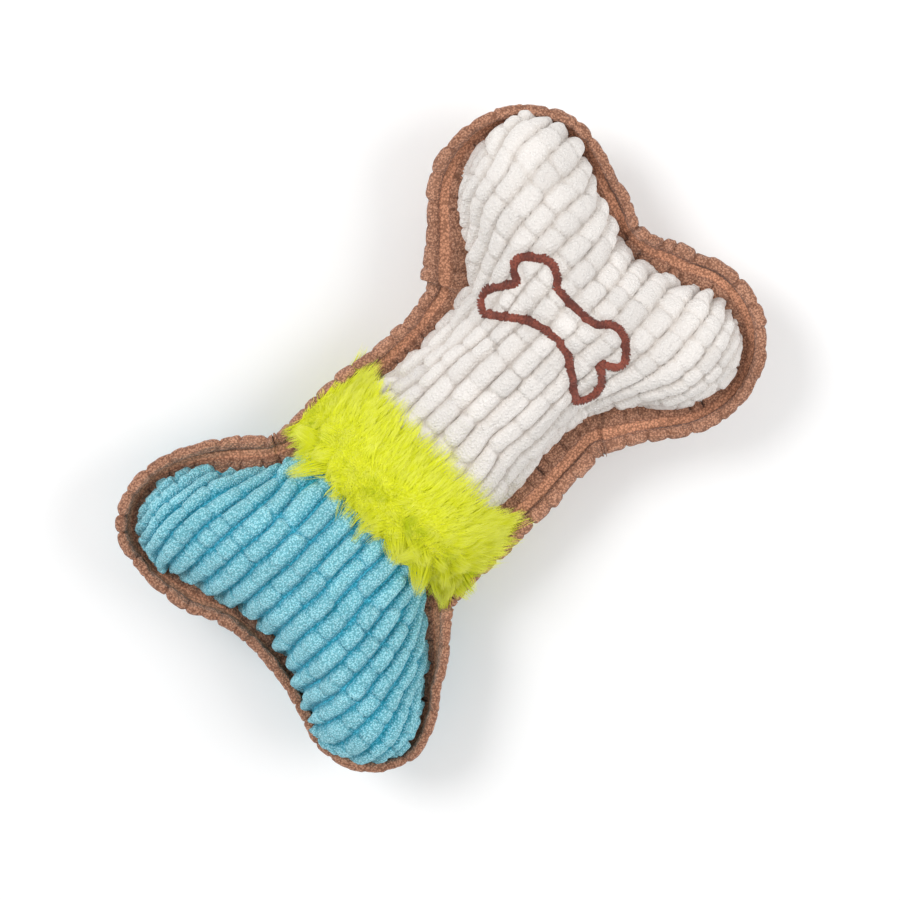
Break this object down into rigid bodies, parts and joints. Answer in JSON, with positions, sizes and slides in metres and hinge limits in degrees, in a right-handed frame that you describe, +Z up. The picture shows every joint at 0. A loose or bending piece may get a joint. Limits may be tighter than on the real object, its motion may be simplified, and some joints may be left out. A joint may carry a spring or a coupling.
{
  "type": "squeaky dog toy",
  "caption": "Stuffed bone-shaped dog toy in corduroy with a fur band at its waist, a raised edge strip, an embroidered bone and a squeaker that sounds when the cream end is pressed.",
  "frame": {"origin": "middle of the toy's bounding box, on the surface that it lies on", "axes": "+X along the toy from the teal end to the cream end, +Z up out of the front face"},
  "size_m": [0.2184, 0.1368, 0.0577],
  "materials": {
    "cream_front_panel": "matte",
    "cream_back_panel": "matte",
    "teal_front_panel": "matte",
    "teal_back_panel": "matte",
    "fur_band_front": "matte",
    "fur_band_back": "matte",
    "edge_strip_cream": "matte",
    "edge_strip_teal": "matte",
    "motif_embroidery": "satin",
    "seam_thread_cream": "matte",
    "seam_thread_teal": "matte",
    "band_thread_cream": "matte",
    "band_thread_teal": "matte",
    "stuffing_cream_front": "matte",
    "stuffing_cream_back": "matte",
    "stuffing_cream_lobe_left": "matte",
    "stuffing_cream_lobe_right": "matte",
    "stuffing_waist": "matte",
    "stuffing_teal_core": "matte",
    "stuffing_teal_lobe_left": "matte",
    "stuffing_teal_lobe_right": "matte",
    "squeaker_bladder": "satin",
    "whistle_barrel": "satin",
    "reed_block": "satin",
    "reed_clip": "satin",
    "reed": "satin"
  },
  "bodies": {
    "cream_end": {"cream_back_panel": "cream_back_panel", "fur_band_front": "fur_band_front", "fur_band_back": "fur_band_back", "edge_strip_cream": "edge_strip_cream", "seam_thread_cream": "seam_thread_cream", "band_thread_cream": "band_thread_cream", "stuffing_cream_front": "stuffing_cream_front", "stuffing_cream_back": "stuffing_cream_back", "stuffing_cream_lobe_left": "stuffing_cream_lobe_left", "stuffing_cream_lobe_right": "stuffing_cream_lobe_right", "stuffing_waist": "stuffing_waist", "squeaker_bladder": "squeaker_bladder", "whistle_barrel": "whistle_barrel", "reed_block": "reed_block", "reed_clip": "reed_clip"},
    "cream_front": {"cream_front_panel": "cream_front_panel", "motif_embroidery": "motif_embroidery"},
    "teal_end": {"teal_front_panel": "teal_front_panel", "teal_back_panel": "teal_back_panel", "edge_strip_teal": "edge_strip_teal", "seam_thread_teal": "seam_thread_teal", "band_thread_teal": "band_thread_teal", "stuffing_teal_core": "stuffing_teal_core", "stuffing_teal_lobe_left": "stuffing_teal_lobe_left", "stuffing_teal_lobe_right": "stuffing_teal_lobe_right"},
    "reed": {"reed": "reed"}
  },
  "joints": [
    {"name": "waist_bend", "type": "hinge", "parent": "cream_end", "child": "teal_end", "pos_m": [-0.022, 0, 0.026], "axis": [0, 1, 0], "range_deg": [-25, 25], "stiffness_Nm_per_rad": 0.6, "deforming": ["fur_band_front", "fur_band_back", "stuffing_waist"]},
    {"name": "squeeze", "type": "slide", "parent": "cream_end", "child": "cream_front", "axis": [0, 0, -1], "range_m": [0, 0.009], "stiffness_N_per_m": 1200, "deforming": ["cream_front_panel", "stuffing_cream_front", "squeaker_bladder"]},
    {"name": "reed_flutter", "type": "hinge", "parent": "cream_end", "child": "reed", "pos_m": [0.03812, 0, 0.0135], "axis": [0, 1, 0], "range_deg": [0, 8], "stiffness_Nm_per_rad": 0.002}
  ]
}
